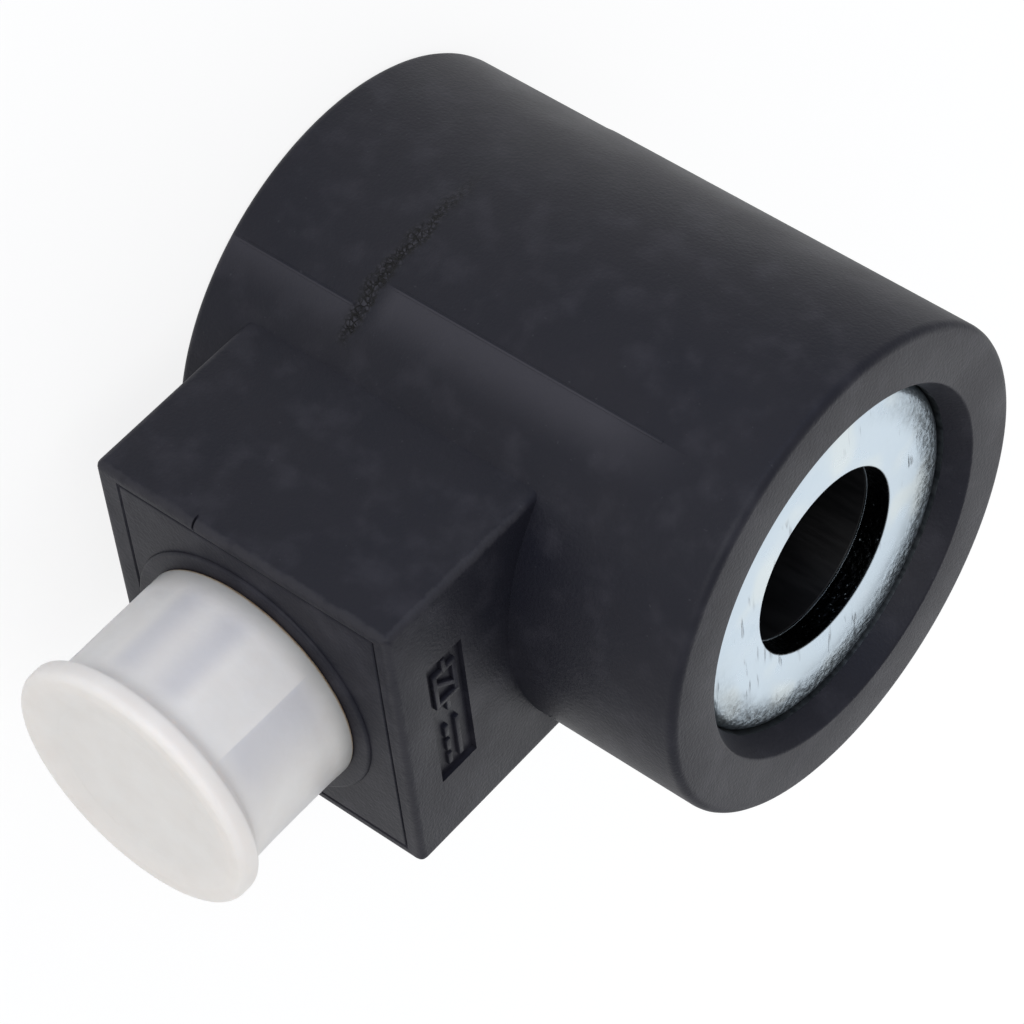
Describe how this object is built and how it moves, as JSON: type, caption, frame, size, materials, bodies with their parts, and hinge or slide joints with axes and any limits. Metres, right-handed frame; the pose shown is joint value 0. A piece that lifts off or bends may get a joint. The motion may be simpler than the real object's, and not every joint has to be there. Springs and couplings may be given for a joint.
{
  "type": "solenoid valve coil",
  "caption": "Moulded coil of a cartridge solenoid valve, with a plain bore, steel end plates and a side connector block under a translucent dust cap.",
  "frame": {"origin": "centre of the bore at the rear flux plate's outer face, where the coil seats on a valve", "axes": "+Z along the bore towards the retaining nut, -Y towards the connector"},
  "size_m": [0.0424, 0.0688, 0.05],
  "materials": {
    "black_nylon": "matte moulded glass-filled nylon",
    "bobbin_plastic": "smooth moulded nylon",
    "plain_steel": "plain turned steel tube",
    "zinc_plated_steel": "bright zinc plated, lightly scratched",
    "enamelled_copper": "enamelled winding wire",
    "insulating_tape": "polyester film wrap",
    "tinned_copper": "tinned",
    "sleeve_plastic": "flexible sleeve",
    "tinned_brass": "tinned brass blade",
    "natural_polyethylene": "translucent natural polyethylene"
  },
  "bodies": {
    "coil": {"coil_jacket": "black_nylon", "flux_tube": "plain_steel", "front_flux_plate": "zinc_plated_steel", "rear_flux_plate": "zinc_plated_steel", "bobbin": "bobbin_plastic", "winding": "enamelled_copper", "winding_tape": "insulating_tape", "lead_wire_1": "tinned_copper", "lead_wire_2": "tinned_copper", "lead_sleeve_1": "sleeve_plastic", "lead_sleeve_2": "sleeve_plastic", "crimp_ferrule_1": "tinned_copper", "crimp_ferrule_2": "tinned_copper", "terminal_blade_1": "tinned_brass", "terminal_blade_2": "tinned_brass", "connector_header": "black_nylon"},
    "dust_cap": {"dust_cap": "natural_polyethylene"}
  },
  "joints": [
    {"name": "dust_cap_pull", "type": "slide", "parent": "coil", "child": "dust_cap", "axis": [0, -1, 0], "range_m": [0, 0.02]}
  ]
}
